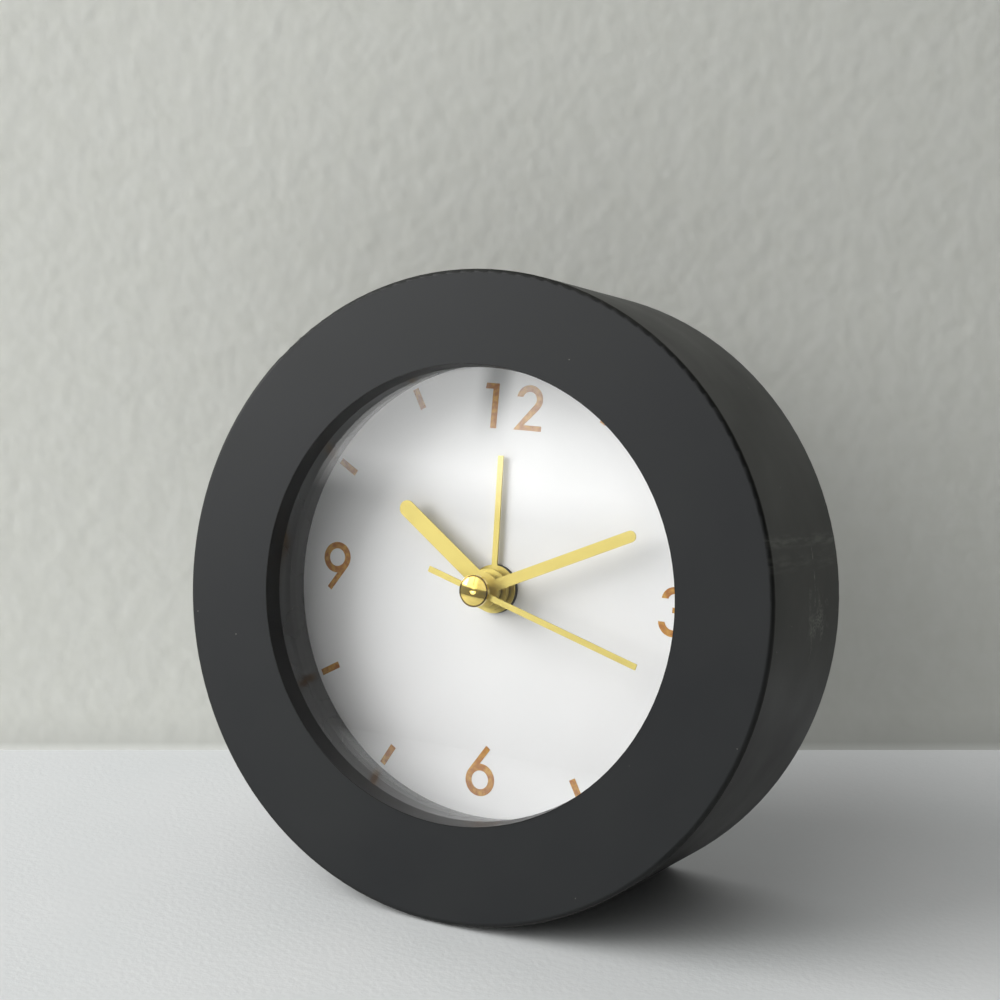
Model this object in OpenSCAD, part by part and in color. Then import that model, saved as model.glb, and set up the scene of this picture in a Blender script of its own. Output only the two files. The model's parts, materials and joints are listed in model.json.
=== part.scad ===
// Round leaning desk clock with an alarm hand and a battery quartz movement.
// The clock is drawn in its own frame: X to 3 o'clock, Y to 12 o'clock, and every
// depth is measured into the case from the front face. place() then leans it back
// and stands it on its feet: +Z up, the face towards -Y, the origin under the middle
// of the outer box. All sizes are in millimetres.

/* [Case] */
// Outer diameter of the round case
case_d = 120; // [112:1:140]
// Thickness of the tube and of the flat underside
case_wall = 2.5; // [2:0.1:3]
// Thickness of the front ring
front_t = 2.4; // [2:0.1:3.4]
// Radius on the front and back edges of the tube
edge_r = 0.8; // [0.4:0.1:1.5]
// How far the face leans back, in degrees
lean = 11.2; // [6:0.1:14]

/* [Opening and lens] */
// Diameter of the opening at the face
opening_d = 84.4; // [76:0.2:88]
// Depth of the seat that the lens rests on
lens_seat = 4.2; // [3.6:0.1:6]
// Thickness of the lens
lens_t = 1.8; // [1:0.1:2.4]
// How far the lens reaches behind the lip
lens_lap = 3.1; // [2.6:0.1:4]
// Wall of the reveal ring
reveal_wall = 1.6; // [1:0.1:2]
// Wall of the collar that holds the lens and the reveal ring
collar_wall = 2; // [1.6:0.1:2.6]

/* [Dial] */
// Thickness of the dial plate
dial_t = 0.8; // [0.4:0.1:1.2]
// How far the dial plate reaches past the reveal ring
dial_lap = 1.2; // [0.8:0.1:1.6]
// Thickness of the carrier plate behind the dial
carrier_t = 2; // [1.6:0.1:3]

/* [Hands] */
// Length of the hour hand from the axis
hour_len = 24.9; // [18:0.1:28]
// Width of the hour hand
hour_w = 3.2; // [2:0.1:4]
// Diameter of the hour hand's boss
hour_boss_d = 8; // [7.2:0.1:8.4]
// Length of the minute hand from the axis
minute_len = 32.9; // [28:0.1:37]
// Width of the minute hand
minute_w = 2.15; // [1.6:0.05:3]
// Diameter of the minute hand's boss
minute_boss_d = 6.8; // [6:0.1:7.2]
// Length of the second hand from the axis
second_len = 34.6; // [28:0.1:37]
// Length of the second hand's tail from the axis
second_tail = 10.7; // [6:0.1:14]
// Width of the second hand
second_w = 1.1; // [0.8:0.05:1.6]
// Length of the alarm hand from the axis
alarm_len = 25.5; // [18:0.1:30]
// Width of the alarm hand
alarm_w = 1.15; // [0.8:0.05:1.6]
// Diameter of the alarm hand's boss
alarm_boss_d = 9.2; // [8.6:0.1:10]
// Thickness of each hand
hand_t = 0.35; // [0.25:0.05:0.5]
// Spacing from the alarm hand to the hour hand and from there to the minute hand
hand_pitch = 2.3; // [2.1:0.05:2.8]
// Spacing from the minute hand to the second hand
second_pitch = 2.8; // [2.4:0.05:3.4]
// Depth from the alarm hand's front to the dial
alarm_gap = 1.2; // [1.15:0.05:1.6]
// Diameter of the cap on the second hand
cap_d = 6; // [5:0.1:6.4]
// Height of the cap
cap_h = 1; // [0.6:0.1:1.4]
// Gap between the cap and the lens
lens_gap = 0.6; // [0.4:0.1:3]

/* [Time shown] */
// Hour that the hands show
show_hour = 10; // [0:1:11]
// Minutes that the hands show
show_minute = 10.9; // [0:0.1:59.9]
// Seconds that the second hand shows
show_second = 17.7; // [0:0.1:59.9]
// Alarm time in hours
show_alarm = 11.94; // [0:0.01:12]

/* [Movement] */
// Reach of the movement above the axis
mov_top = 28; // [27:0.5:32]
// Thickness of the movement's walls and plates
plate_t = 1.2; // [1:0.1:1.4]
// Thickness of the wheels
wheel_t = 0.8; // [0.6:0.05:0.9]
// Step from one layer of wheels to the next
layer_pitch = 1.5; // [1.4:0.05:1.6]
// Module of the wheels that carry the hands
hand_module = 0.28; // [0.27:0.005:0.285]
// Module of the going train
train_module = 0.22; // [0.2:0.005:0.225]
// Diameter of the battery
battery_d = 14.5; // [13.5:0.1:14.5]
// Length of the battery with its positive button
battery_len = 50.4; // [49:0.1:50.5]
// Depth of the gap between the movement and the back cover
back_gap = 2.1; // [2.1:0.1:12]

/* [Back] */
// How far the back cover sits inside the rim
back_recess = 2; // [1:0.1:3]
// Thickness of the back cover
cover_t = 2; // [1.6:0.1:2.4]
// Diameter of the two setting knobs
knob_d = 12; // [10:0.5:14]
// Height of the setting knobs
knob_h = 4.5; // [3:0.1:6]
// Travel of the alarm switch
switch_travel = 4; // [3:0.1:5]

/* [Feet] */
// Length of the rear foot across the clock
rear_foot_l = 36; // [24:1:38]
// Length of the front foot across the clock
front_foot_l = 14; // [10:1:15]
// Width of both feet
foot_w = 5; // [4:0.1:5.5]
// Thickness of the feet
foot_t = 1.3; // [1:0.1:1.6]
// How far the feet stand proud of the underside
foot_proud = 0.5; // [0.3:0.1:0.8]

/* [Hidden] */
$fn = 96;

// Overlaps that keep cuts and unions clean
eps = 0.01;
through = 1;

// Clearances: of what turns, of pressed pieces, of seated pieces, and of screws
running = 0.05;
press_gap = 0.01;
seat_gap = 0.2;
screw_gap = 0.02;
end_gap = 0.4;

// Case
case_r = case_d / 2;
opening_draft = 0.3;
lip_r = opening_d / 2 - opening_draft;
lens_r = lip_r + lens_lap;
lens_bevel = 0.25;
collar_in_r = lens_r + seat_gap;
collar_out_r = collar_in_r + collar_wall;

// Hand stack, from the dial forwards, and the reveal's depth that it needs
reveal_depth = lens_gap + cap_h + second_pitch + 2 * hand_pitch + alarm_gap;
lens_back_s = lens_seat + lens_t;
dial_s = lens_back_s + reveal_depth;
dial_back_s = dial_s + dial_t;
carrier_back_s = dial_back_s + carrier_t;
alarm_hand_s = dial_s - alarm_gap;
hour_hand_s = alarm_hand_s - hand_pitch;
minute_hand_s = hour_hand_s - hand_pitch;
second_hand_s = minute_hand_s - second_pitch;
cap_s = second_hand_s - cap_h;
cap_dome_h = 0.25;
pipe_proud = 0.1;
boss_step = 0.35;
bush_proud = 0.45;
collar_t = hand_pitch - hand_t - end_gap;
alarm_collar_t = alarm_gap - bush_proud - pipe_proud - hand_t;
second_boss_r = 2;
second_tube_r = 1.4;
second_tube_t = second_pitch - hand_t - end_gap;

// Battery bay
bay_wall = 1;
bay_gap = 0.25;
bay_open_gap = 0.85;
bay_end_gap = 0.7;
contact_t = 0.4;
contact_spring = 1.3;
contact_half = 4.5;
contact_tip = 1;
battery_r = battery_d / 2;
battery_button_r = 2.75;
battery_button_h = 1.2;
bay_x = (battery_len + contact_t + bay_end_gap + contact_t + contact_spring) / 2;
bay_top_y = -12.6;
battery_y = bay_top_y - bay_gap - battery_r;
bay_bottom_y = battery_y - battery_r - bay_gap;
battery_x = bay_x - bay_end_gap - contact_t;

// Movement outline and layers
mov_corner_r = 3;
inner_corner_r = mov_corner_r - plate_t;
mov_x = bay_x + bay_wall + seat_gap + plate_t;
mov_bottom = -bay_bottom_y + bay_wall + seat_gap + plate_t;
split_depth = 9;
split_s = dial_back_s + split_depth;
inner_s = dial_back_s + plate_t;
alarm_s = inner_s + end_gap;
hour_s = alarm_s + layer_pitch;
motion_s = hour_s + layer_pitch;
mid_s = motion_s + layer_pitch;
mid_back_s = mid_s + plate_t;
centre_s = mid_back_s + 1.5 * end_gap;
third_s = centre_s + layer_pitch;
second_s = third_s + layer_pitch;
fifth_s = second_s + layer_pitch;
magnet_s = fifth_s + layer_pitch;
magnet_t = 2.5;
train_back_s = magnet_s + magnet_t + 1.4;
bay_back_s = inner_s + seat_gap + bay_wall + bay_gap + battery_d + bay_open_gap;
rear_s = max(train_back_s + plate_t, bay_back_s);
rear_in_s = rear_s - plate_t;
battery_s = rear_s - bay_open_gap - battery_r;
bay_floor_s = battery_s - battery_r - bay_gap;

// Back cover, and the depth of the case that all of this needs
cover_s = rear_s + back_gap;
cover_back_s = cover_s + cover_t;
case_depth = cover_back_s + back_recess;
face_y = -case_depth * cos(lean) / 2;
face_z = foot_proud + case_r * cos(lean);
front_edge_y = face_y - case_r * sin(lean);
rear_edge_y = front_edge_y + case_depth / cos(lean);

// Feet: their places along the flat underside, and the top of their pockets
front_foot_inset = 7;
rear_foot_inset = 1.6;
front_foot_y = front_edge_y + front_foot_inset + foot_w / 2;
rear_foot_y = rear_edge_y - rear_foot_inset - foot_w / 2;
foot_seat_z = foot_t;

// Bosses and screws
dial_r = lens_r + dial_lap;
dial_edge_gap = 0.3;
boss_r = 3.2;
boss_sink = 0.3;
carrier_boss_r = dial_r + dial_edge_gap + boss_r;
carrier_boss_angles = [60, 120, 240, 300];
cover_boss_r = case_r - case_wall - boss_r + boss_sink;
cover_boss_angles = [35, 145, 205, 335];
ear_r = 3.6;
screw_r = 1.2;
screw_len = 8;
screw_end_gap = 0.5;
screw_hole_gap = 0.1;
screw_head_r = 2.4;
screw_head_h = 1.5;
screw_sink = 0.8;
recess_span = 0.6;
recess_w = 0.7;
recess_depth = 0.7;
small_screw_r = 1;
small_head_r = 1.9;
small_head_h = 1.2;
small_end_gap = 0.3;
lug_r = 2.8;
lug_t = 1.6;
lug_x = mov_x + lug_r;
lug_top_inset = 7;
lug_bottom_inset = 8;
lug_top_y = mov_top - lug_top_inset;
lug_bottom_y = lug_bottom_inset - mov_bottom;
lug_places = [[-1, lug_top_y], [1, lug_top_y], [-1, lug_bottom_y], [1, lug_bottom_y]];

// Tooth counts of the trains
z_cannon = 15;
z_minute_wheel = 45;
z_minute_pinion = 12;
z_hour = 48;
z_time_pinion = 15;
z_alarm = 72;
z_alarm_pinion = 28;
z_centre = 64;
z_third = 60;
z_second = 60;
z_fifth = 32;
z_leaves = 8;

// Tooth proportions in modules (radii) and in shares of the pitch (widths)
wheel_tooth = [0.9, 1.2, 0.20, 0.58];
pinion_tooth = [0.8, 1.3, 0.22, 0.42];

// Centre distances and arbor places
motion_a = hand_module * (z_cannon + z_minute_wheel) / 2;
third_a = train_module * (z_third + z_leaves) / 2;
centre_module = 2 * third_a / (z_centre + z_leaves);
fifth_a = train_module * (z_second + z_leaves) / 2;
rotor_a = train_module * (z_fifth + z_leaves) / 2;
alarm_a = hand_module * (z_alarm + z_alarm_pinion) / 2;
knob_angle = 25.8;
time_knob = polar(alarm_a, 180 - knob_angle);
alarm_knob = polar(alarm_a, knob_angle);
motion_spread = acos(alarm_a / 2 / motion_a);
motion_angle = 180 - knob_angle + motion_spread;
motion_pos = polar(motion_a, motion_angle);
motion_to_knob = atan2(time_knob[1] - motion_pos[1], time_knob[0] - motion_pos[0]);
third_angle = -25;
third_pos = polar(third_a, third_angle);
fifth_angle = 105;
fifth_pos = polar(fifth_a, fifth_angle);
rotor_angle = 95;
rotor_pos = fifth_pos + polar(rotor_a, rotor_angle);

// Shafts and pipes on the main axis
second_shaft_r = 0.5;
minute_pipe_r = 1.65;
hour_pipe_r = 2.5;
alarm_pipe_r = 3.2;
minute_journal_r = 2;
bush_r = 4.6;
bush_in_r = alarm_pipe_r + running;
dial_hole_r = bush_r + 0.1;

// Arbors, hubs and bearings
arbor_r = 0.5;
motion_boss_r = 1.2;
motion_boss_h = 0.4;
pivot_r = 0.35;
pivot_end_gap = 0.3;
hub_r = 2.5;
hub_step = 0.2;
hour_hub_r = 3;
rotor_hub_r = 1.2;
pinion_over = 0.1;
set_shaft_r = 1.5;
set_pivot_r = 0.8;
set_pivot_len = 0.7;
set_bearing_depth = 0.9;

// Angles of the hands, clockwise from 12 o'clock
minute_turn = show_minute * 6;
hour_turn = show_hour * 30 + show_minute / 2;
second_turn = show_second * 6;
alarm_turn = show_alarm * 30;

// Motor
magnet_r = 2;
stator_t = 0.8;
stator_s = magnet_s + (magnet_t - stator_t) / 2;
stator_bore_r = magnet_r + 0.5;
stator_bar_w = 2 * stator_bore_r + 0.6;
leg_w = 3.5;
core_w = 2.4;
coil_x = [-14, 8];
coil_y = mov_top - 7;
coil_r = 2.7;
flange_r = 3;
flange_t = 0.8;
coil_end_gap = 0.3;
stake_r = 0.6;
stake_over = 0.3;
stake_post_r = 1.4;
stake_x = [coil_x[0] + leg_w / 2, coil_x[1] - leg_w / 2];

// Posts, circuit board and sounder
post_r = 1.6;
post_inset = 4;
post_top_inset = 3;
post_x = mov_x - post_inset;
post_low_y = -8.5;
post_top_y = mov_top - post_top_inset;
posts = [[-post_x, post_low_y], [post_x, post_low_y], [-post_x, post_top_y], [post_x, post_top_y]];
plate_edge_y = bay_top_y + bay_wall + 0.3;
board_x = [9.5, post_x - post_r - end_gap];
board_y = [9.6, mov_top - 2];
board_t = 0.8;
board_lift = 1;
board_s = mid_back_s + board_lift;
board_pin_r = 0.5;
board_pin_base_r = 1.2;
board_pin_inset = [2.5, 2, 2, 1.8];
board_pins = [
    [board_x[0] + board_pin_inset[0], board_y[1] - board_pin_inset[1]],
    [board_x[1] - board_pin_inset[2], board_y[0] + board_pin_inset[3]]];
chip_r = 2.4;
chip_h = 0.7;
crystal_r = 1;
crystal_len = 6;
crystal_inset = [1.5, 3.6];
sounder_r = 7.5;
sounder_h = 3.6;
sounder_step_r = 6;
sounder_step_h = 0.8;
sounder_port_r = 1;
sounder_port_depth = 1.5;
sounder_top_inset = 10.5;
sounder_pos = [16.5, mov_top - sounder_top_inset];
slot_count = 5;
slot_pitch = 2;
slot_size = [8, 0.8];

// Back cover, door, knobs and switch
cover_slot_pitch = 2.4;
cover_slot_size = [12, 1.2];
door_margin = [1.6, 0.6];
door_x = bay_x + door_margin[0];
door_y = [bay_bottom_y - door_margin[1], bay_top_y + door_margin[1]];
door_gap = 0.2;
door_t = 0.75 * cover_t;
door_skirt_h = 1.4;
door_skirt_t = 1.2;
ledge_w = 1;
collar_rim = 0.2;
notch_r = 5;
notch_depth = 0.8;
knob_gap = 0.3;
knob_hub_r = 3;
knob_hub_depth = 1.6;
knob_hole_gap = 0.3;
knob_ribs = 24;
knob_rib_h = 0.35;
knob_rim = 1.6;
knob_dish = 0.5;
knob_top_t = 1.5;
switch_top_inset = 8;
switch_pos = [-19, mov_top - switch_top_inset];
switch_stem = [3, 2];
switch_stem_in = 1;
switch_slot_w = 2.4;
switch_slot_gap = 0.3;
switch_plate = [9, 6];
switch_plate_t = 1.2;
switch_button = [7, 4.8];
switch_button_r = 1;
switch_button_h = 1.9;
switch_grip_w = 0.5;
switch_grip_pitch = 2.4;
switch_grip_depth = 0.5;
leaf_t = 0.3;
leaf_w = 2.4;
leaf_foot = 4;
leaf_end_gap = 2;
knob_s = cover_back_s + knob_gap;
knob_seat_s = knob_s + knob_h - knob_top_t;

// A point at radius r and angle a
function polar(r, a) = [r * cos(a), r * sin(a)];

// Half the angle that a width covers at a radius
function half_angle(width, r) = width / r * 90 / PI;

// Outline of a toothed ring, four points to a tooth
function tooth_points(z, m, tooth, phase) =
    let (
        tip = m * (z / 2 + tooth[0]),
        root = m * (z / 2 - tooth[1]),
        a_tip = half_angle(tooth[2] * PI * m, tip),
        a_root = half_angle(tooth[3] * PI * m, root)
    )
    [for (i = [0 : z - 1])
        let (a = phase + i * 360 / z)
        each [
            polar(root, a - a_root), polar(tip, a - a_tip),
            polar(tip, a + a_tip), polar(root, a + a_root)]];

// Phase of a gear that meshes with another one that lies in the direction given
function mesh_phase(phase, z_from, z_to, direction) =
    direction + 180 + 180 / z_to + (direction - phase) * z_from / z_to;

// Stands the clock on its feet, leaning back
module place() {
    translate([0, face_y, face_z]) rotate([90 - lean, 0, 0]) children();
}

// Extrudes a flat shape from depth s for a thickness t
module slab(s, t) {
    translate([0, 0, -(s + t)]) linear_extrude(t) children();
}

// A disc from depth s for a thickness t
module disc(r, s, t) {
    translate([0, 0, -(s + t)]) cylinder(r = r, h = t);
}

// A tube from depth s for a thickness t
module tube(r_out, r_in, s, t) {
    difference() {
        disc(r_out, s, t);
        disc(r_in, s - through, t + 2 * through);
    }
}

module at(p) {
    translate([p[0], p[1], 0]) children();
}

module gear(z, m, tooth, phase, s, t) {
    slab(s, t) polygon(tooth_points(z, m, tooth, phase));
}

// A rectangle with round corners, exact arcs
module round_rect(x0, y0, x1, y1, r) {
    translate([x0 + r, y0]) square([x1 - x0 - 2 * r, y1 - y0]);
    translate([x0, y0 + r]) square([x1 - x0, y1 - y0 - 2 * r]);
    for (x = [x0 + r, x1 - r], y = [y0 + r, y1 - r]) translate([x, y]) circle(r);
}

// Space above the clock's flat underside, raised by a height
module above_floor(raise) {
    reach = 2 * case_d;
    translate([-reach / 2, -reach / 2, foot_proud + raise]) cube([reach, reach, reach]);
}

// A pan head screw with a cross recess, its head behind depth s
module screw(r, len, head_r, head_h, s) {
    difference() {
        union() {
            disc(head_r, s, head_h);
            disc(r, s - len, len + eps);
        }
        for (a = [0, 90]) rotate(a)
            translate([-head_r * recess_span, -recess_w / 2, -(s + head_h) - eps])
                cube([2 * head_r * recess_span, recess_w, recess_depth + eps]);
    }
}

// Case

// Section of the tube's outside, with its two rounded edges
module case_section() {
    difference() {
        translate([0, -case_depth]) square([case_r, case_depth]);
        for (z = [-edge_r, -case_depth + edge_r]) {
            side = z > -case_depth / 2 ? 1 : -1;
            difference() {
                translate([case_r - edge_r, side > 0 ? z : z - 2 * edge_r]) square(2 * edge_r);
                translate([case_r - edge_r, z]) circle(edge_r);
            }
        }
    }
}

module case_shell() {
    difference() {
        intersection() {
            place() rotate_extrude() case_section();
            above_floor(0);
        }
        intersection() {
            place() disc(case_r - case_wall, front_t, case_depth);
            above_floor(case_wall);
        }
    }
}

module case_body() color([0.2, 0.21, 0.2]) {
    difference() {
        union() {
            case_shell();
            place() {
                disc(collar_out_r, front_t - eps, dial_s - seat_gap - front_t + eps);
                for (a = carrier_boss_angles) at(polar(carrier_boss_r, a))
                    disc(boss_r, front_t - eps, dial_back_s - front_t + eps);
                for (a = cover_boss_angles) at(polar(cover_boss_r, a))
                    disc(boss_r, front_t - eps, cover_s - front_t + eps);
            }
        }
        place() {
            translate([0, 0, -lens_seat - eps])
                cylinder(r1 = lip_r, r2 = opening_d / 2, h = lens_seat + 2 * eps);
            disc(collar_in_r, lens_seat, dial_s);
            for (a = carrier_boss_angles) at(polar(carrier_boss_r, a))
                disc(screw_r + screw_gap, dial_back_s - screw_len, screw_len + through);
            for (a = cover_boss_angles) at(polar(cover_boss_r, a))
                disc(screw_r + screw_gap, cover_s - screw_len, screw_len + through);
        }
        foot_shape(front_foot_l, front_foot_y, foot_proud - through, foot_seat_z, press_gap);
        foot_shape(rear_foot_l, rear_foot_y, foot_proud - through, foot_seat_z, press_gap);
    }
}

// Feet, which stand in shallow pockets of the flat underside
module foot_shape(length, y, z0, z1, grow) {
    r = foot_w / 2 + grow;
    run = length / 2 - foot_w / 2;
    translate([0, y, z0]) linear_extrude(z1 - z0) {
        translate([-run, -r]) square([2 * run, 2 * r]);
        for (x = [-run, run]) translate([x, 0]) circle(r);
    }
}

module front_foot() color([0.08, 0.08, 0.08])
    foot_shape(front_foot_l, front_foot_y, 0, foot_seat_z, 0);

module rear_foot() color([0.08, 0.08, 0.08])
    foot_shape(rear_foot_l, rear_foot_y, 0, foot_seat_z, 0);

// Lens, reveal and dial

module lens() color([0.8, 0.85, 0.85, 0.3]) place()
    rotate_extrude() polygon([
        [0, -lens_seat], [lens_r - lens_bevel, -lens_seat], [lens_r, -lens_seat - lens_bevel],
        [lens_r, -lens_back_s + lens_bevel], [lens_r - lens_bevel, -lens_back_s], [0, -lens_back_s]]);

module reveal_ring() color([0.12, 0.12, 0.12]) place()
    tube(lens_r, lens_r - reveal_wall, lens_back_s, reveal_depth);

module dial_plate() color([0.88, 0.88, 0.87]) place()
    tube(dial_r, dial_hole_r, dial_s, dial_t);

module dial_carrier() color([0.16, 0.16, 0.16]) place() difference() {
    slab(dial_back_s, carrier_t) difference() {
        union() {
            circle(carrier_boss_r);
            for (a = carrier_boss_angles) translate(polar(carrier_boss_r, a)) circle(ear_r);
        }
        movement_outline(seat_gap);
        for (a = carrier_boss_angles) translate(polar(carrier_boss_r, a)) circle(screw_r + screw_hole_gap);
        for (a = cover_boss_angles) translate(polar(cover_boss_r, a)) circle(boss_r + seat_gap);
        for (l = lug_places) translate([l[0] * lug_x, l[1]]) circle(small_screw_r + screw_gap);
    }
}

module carrier_screws() color([0.7, 0.7, 0.72]) place()
    for (a = carrier_boss_angles) at(polar(carrier_boss_r, a))
        screw(screw_r, screw_len - screw_end_gap, screw_head_r, screw_head_h, carrier_back_s);

// Movement housing

module movement_outline(grow) {
    round_rect(-mov_x - grow, -mov_bottom - grow, mov_x + grow, mov_top + grow, mov_corner_r);
}

module movement_inside() {
    round_rect(-mov_x + plate_t, -mov_bottom + plate_t, mov_x - plate_t, mov_top - plate_t,
        inner_corner_r);
}

module lug_outline() {
    for (l = lug_places) {
        translate([l[0] * lug_x, l[1]]) circle(lug_r);
        x0 = l[0] > 0 ? mov_x - eps : -lug_x;
        translate([x0, l[1] - lug_r]) square([lug_r + eps, 2 * lug_r]);
    }
}

module movement_front_case() color([0.13, 0.13, 0.13]) place() difference() {
    union() {
        slab(dial_back_s, split_s - dial_back_s) movement_outline(0);
        disc(bush_r, dial_s - bush_proud, dial_t + bush_proud + eps);
        slab(carrier_back_s, lug_t) lug_outline();
    }
    difference() {
        slab(inner_s, split_s) movement_inside();
        for (p = posts) at(p) disc(post_r, inner_s - through, mid_s - inner_s + through);
    }
    disc(bush_in_r, dial_s - bush_proud - through, inner_s);
    for (p = [time_knob, alarm_knob]) at(p)
        disc(set_pivot_r + running, inner_s - set_bearing_depth, plate_t);
    for (l = lug_places) at([l[0] * lug_x, l[1]])
        disc(small_screw_r + screw_hole_gap, carrier_back_s - through, lug_t + 2 * through);
}

module movement_mid_plate() color([0.75, 0.72, 0.62]) place() difference() {
    union() {
        slab(mid_s, plate_t)
            round_rect(-mov_x + plate_t + seat_gap, plate_edge_y,
                mov_x - plate_t - seat_gap, mov_top - plate_t - seat_gap, inner_corner_r);
        at(motion_pos) disc(motion_boss_r, mid_back_s - eps, motion_boss_h + eps);
        for (p = board_pins) at(p) {
            disc(board_pin_base_r, mid_back_s - eps, board_lift + eps);
            disc(board_pin_r, mid_back_s, board_lift + board_t + stake_over);
        }
    }
    disc(minute_journal_r + running, mid_s - through, plate_t + 2 * through);
    at(motion_pos) disc(arbor_r + running, mid_s - through, plate_t + motion_boss_h + 2 * through);
    for (p = [third_pos, fifth_pos, rotor_pos]) at(p)
        disc(pivot_r + running, mid_s - through, plate_t + 2 * through);
    for (p = [time_knob, alarm_knob]) at(p)
        disc(set_shaft_r + running, mid_s - through, plate_t + 2 * through);
}

module movement_rear_case() color([0.13, 0.13, 0.13]) place() difference() {
    union() {
        slab(split_s, rear_s - split_s) difference() {
            movement_outline(0);
            movement_inside();
        }
        slab(rear_in_s, plate_t) movement_outline(0);
        slab(bay_floor_s - bay_wall, rear_s - bay_floor_s + bay_wall) bay_outline(bay_wall, inner_corner_r);
        for (p = posts) at(p)
            disc(post_r, mid_back_s, rear_in_s - mid_back_s + eps);
        for (x = stake_x) at([x, coil_y]) {
            disc(stake_post_r, stator_s + stator_t, rear_in_s - stator_s - stator_t + eps);
            disc(stake_r, stator_s - stator_t - stake_over, 3 * stator_t);
        }
    }
    slab(bay_floor_s, rear_s) bay_outline(0, inner_corner_r - bay_wall);
    disc(pivot_r + running, rear_in_s - through, plate_t + 2 * through);
    for (p = [third_pos, fifth_pos, rotor_pos]) at(p)
        disc(pivot_r + running, rear_in_s - through, plate_t + 2 * through);
    for (p = [time_knob, alarm_knob]) at(p)
        disc(set_shaft_r + running, rear_in_s - through, plate_t + 2 * through);
    at(sounder_pos) slab(rear_in_s - through, plate_t + 2 * through)
        for (y = slot_rows(slot_pitch)) translate([0, y]) square(slot_size, center = true);
    at(switch_pos) slab(rear_in_s - through, plate_t + 2 * through) switch_slot(2 * switch_slot_gap);
}

// Rows of the sounder's slots, about the middle
function slot_rows(pitch) = [for (i = [0 : slot_count - 1]) (i - (slot_count - 1) / 2) * pitch];

module switch_slot(gap) {
    square([switch_travel + switch_stem[0] + 2 * gap, switch_slot_w], center = true);
}

module bay_outline(grow, corner_r) {
    round_rect(-bay_x - grow, bay_bottom_y - grow, bay_x + grow, bay_top_y + grow, corner_r);
}

module movement_screws() color([0.7, 0.7, 0.72]) place()
    for (l = lug_places) at([l[0] * lug_x, l[1]])
        screw(small_screw_r, lug_t + carrier_t - small_end_gap, small_head_r, small_head_h,
            carrier_back_s + lug_t);

// Hands

// Blade of a hand that points to 12 o'clock, with a round end
module blade(length, width) {
    translate([-width / 2, 0]) square([width, length - width / 2]);
    translate([0, length - width / 2]) circle(width / 2);
}

// A hand with its boss disc, the collar behind it and its bore
module hand(length, width, boss_r, bore_r, s, turn) {
    rotate(-turn) difference() {
        union() {
            slab(s, hand_t) {
                blade(length, width);
                circle(boss_r);
            }
            disc(boss_r - boss_step, s + hand_t - eps, collar_t + eps);
        }
        disc(bore_r, s - through, hand_t + collar_t + 2 * through);
    }
}

module alarm_hand() color([0.86, 0.75, 0.42]) place() rotate(-alarm_turn) difference() {
    union() {
        slab(alarm_hand_s, hand_t) {
            translate([-alarm_w / 2, 0]) square([alarm_w, alarm_len]);
            circle(alarm_boss_d / 2);
        }
        disc(alarm_boss_d / 2 - boss_step, alarm_hand_s + hand_t - eps, alarm_collar_t + eps);
    }
    disc(alarm_pipe_r + press_gap, alarm_hand_s - through, alarm_gap + through);
}

module hour_hand() color([0.86, 0.75, 0.42]) place()
    hand(hour_len, hour_w, hour_boss_d / 2, hour_pipe_r + press_gap, hour_hand_s, hour_turn);

module minute_hand() color([0.86, 0.75, 0.42]) place()
    hand(minute_len, minute_w, minute_boss_d / 2, minute_pipe_r + press_gap, minute_hand_s, minute_turn);

module second_hand() color([0.86, 0.75, 0.42]) place() rotate(-second_turn) difference() {
    union() {
        slab(second_hand_s, hand_t) {
            translate([-second_w / 2, -second_tail]) square([second_w, second_len + second_tail]);
            circle(second_boss_r);
        }
        disc(second_tube_r, second_hand_s + hand_t - eps, second_tube_t + eps);
    }
    disc(second_shaft_r + press_gap, second_hand_s + hand_t, second_tube_t + through);
}

module hand_cap() color([0.93, 0.8, 0.45]) place() {
    dome_r = (pow(cap_d / 2, 2) + pow(cap_dome_h, 2)) / 2 / cap_dome_h;
    rotate_extrude() intersection() {
        translate([0, -cap_s - cap_h]) square([cap_d / 2, cap_h]);
        translate([0, -cap_s - dome_r]) circle(dome_r, $fn = 720);
    }
}

// Wheels on the main axis

module second_wheel() color([0.9, 0.88, 0.8]) place() {
    gear(z_second, train_module, wheel_tooth, 0, second_s, wheel_t);
    gear(z_leaves, train_module, pinion_tooth, mesh_phase(0, z_third, z_leaves, third_angle + 180),
        third_s - pinion_over, second_s - third_s + pinion_over + eps);
    disc(second_shaft_r, second_hand_s + hand_t, second_s - second_hand_s - hand_t);
    disc(pivot_r, second_s, rear_s - pivot_end_gap - second_s);
}

module minute_pipe() color([0.9, 0.88, 0.8]) place() difference() {
    union() {
        disc(minute_pipe_r, minute_hand_s - pipe_proud, third_s - end_gap - minute_hand_s + pipe_proud);
        gear(z_cannon, hand_module, pinion_tooth, 0, motion_s - pinion_over, wheel_t + 2 * pinion_over);
        disc(minute_journal_r, motion_s + wheel_t, centre_s - hub_step - pipe_proud - motion_s - wheel_t);
    }
    disc(second_shaft_r + running, minute_hand_s - through, third_s);
}

module centre_wheel() color([0.85, 0.78, 0.5]) place() difference() {
    union() {
        gear(z_centre, centre_module, wheel_tooth, 0, centre_s, wheel_t);
        disc(hub_r, centre_s - hub_step, wheel_t + 2 * hub_step);
    }
    disc(minute_pipe_r + running / 2, centre_s - through, wheel_t + 2 * through);
}

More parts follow.
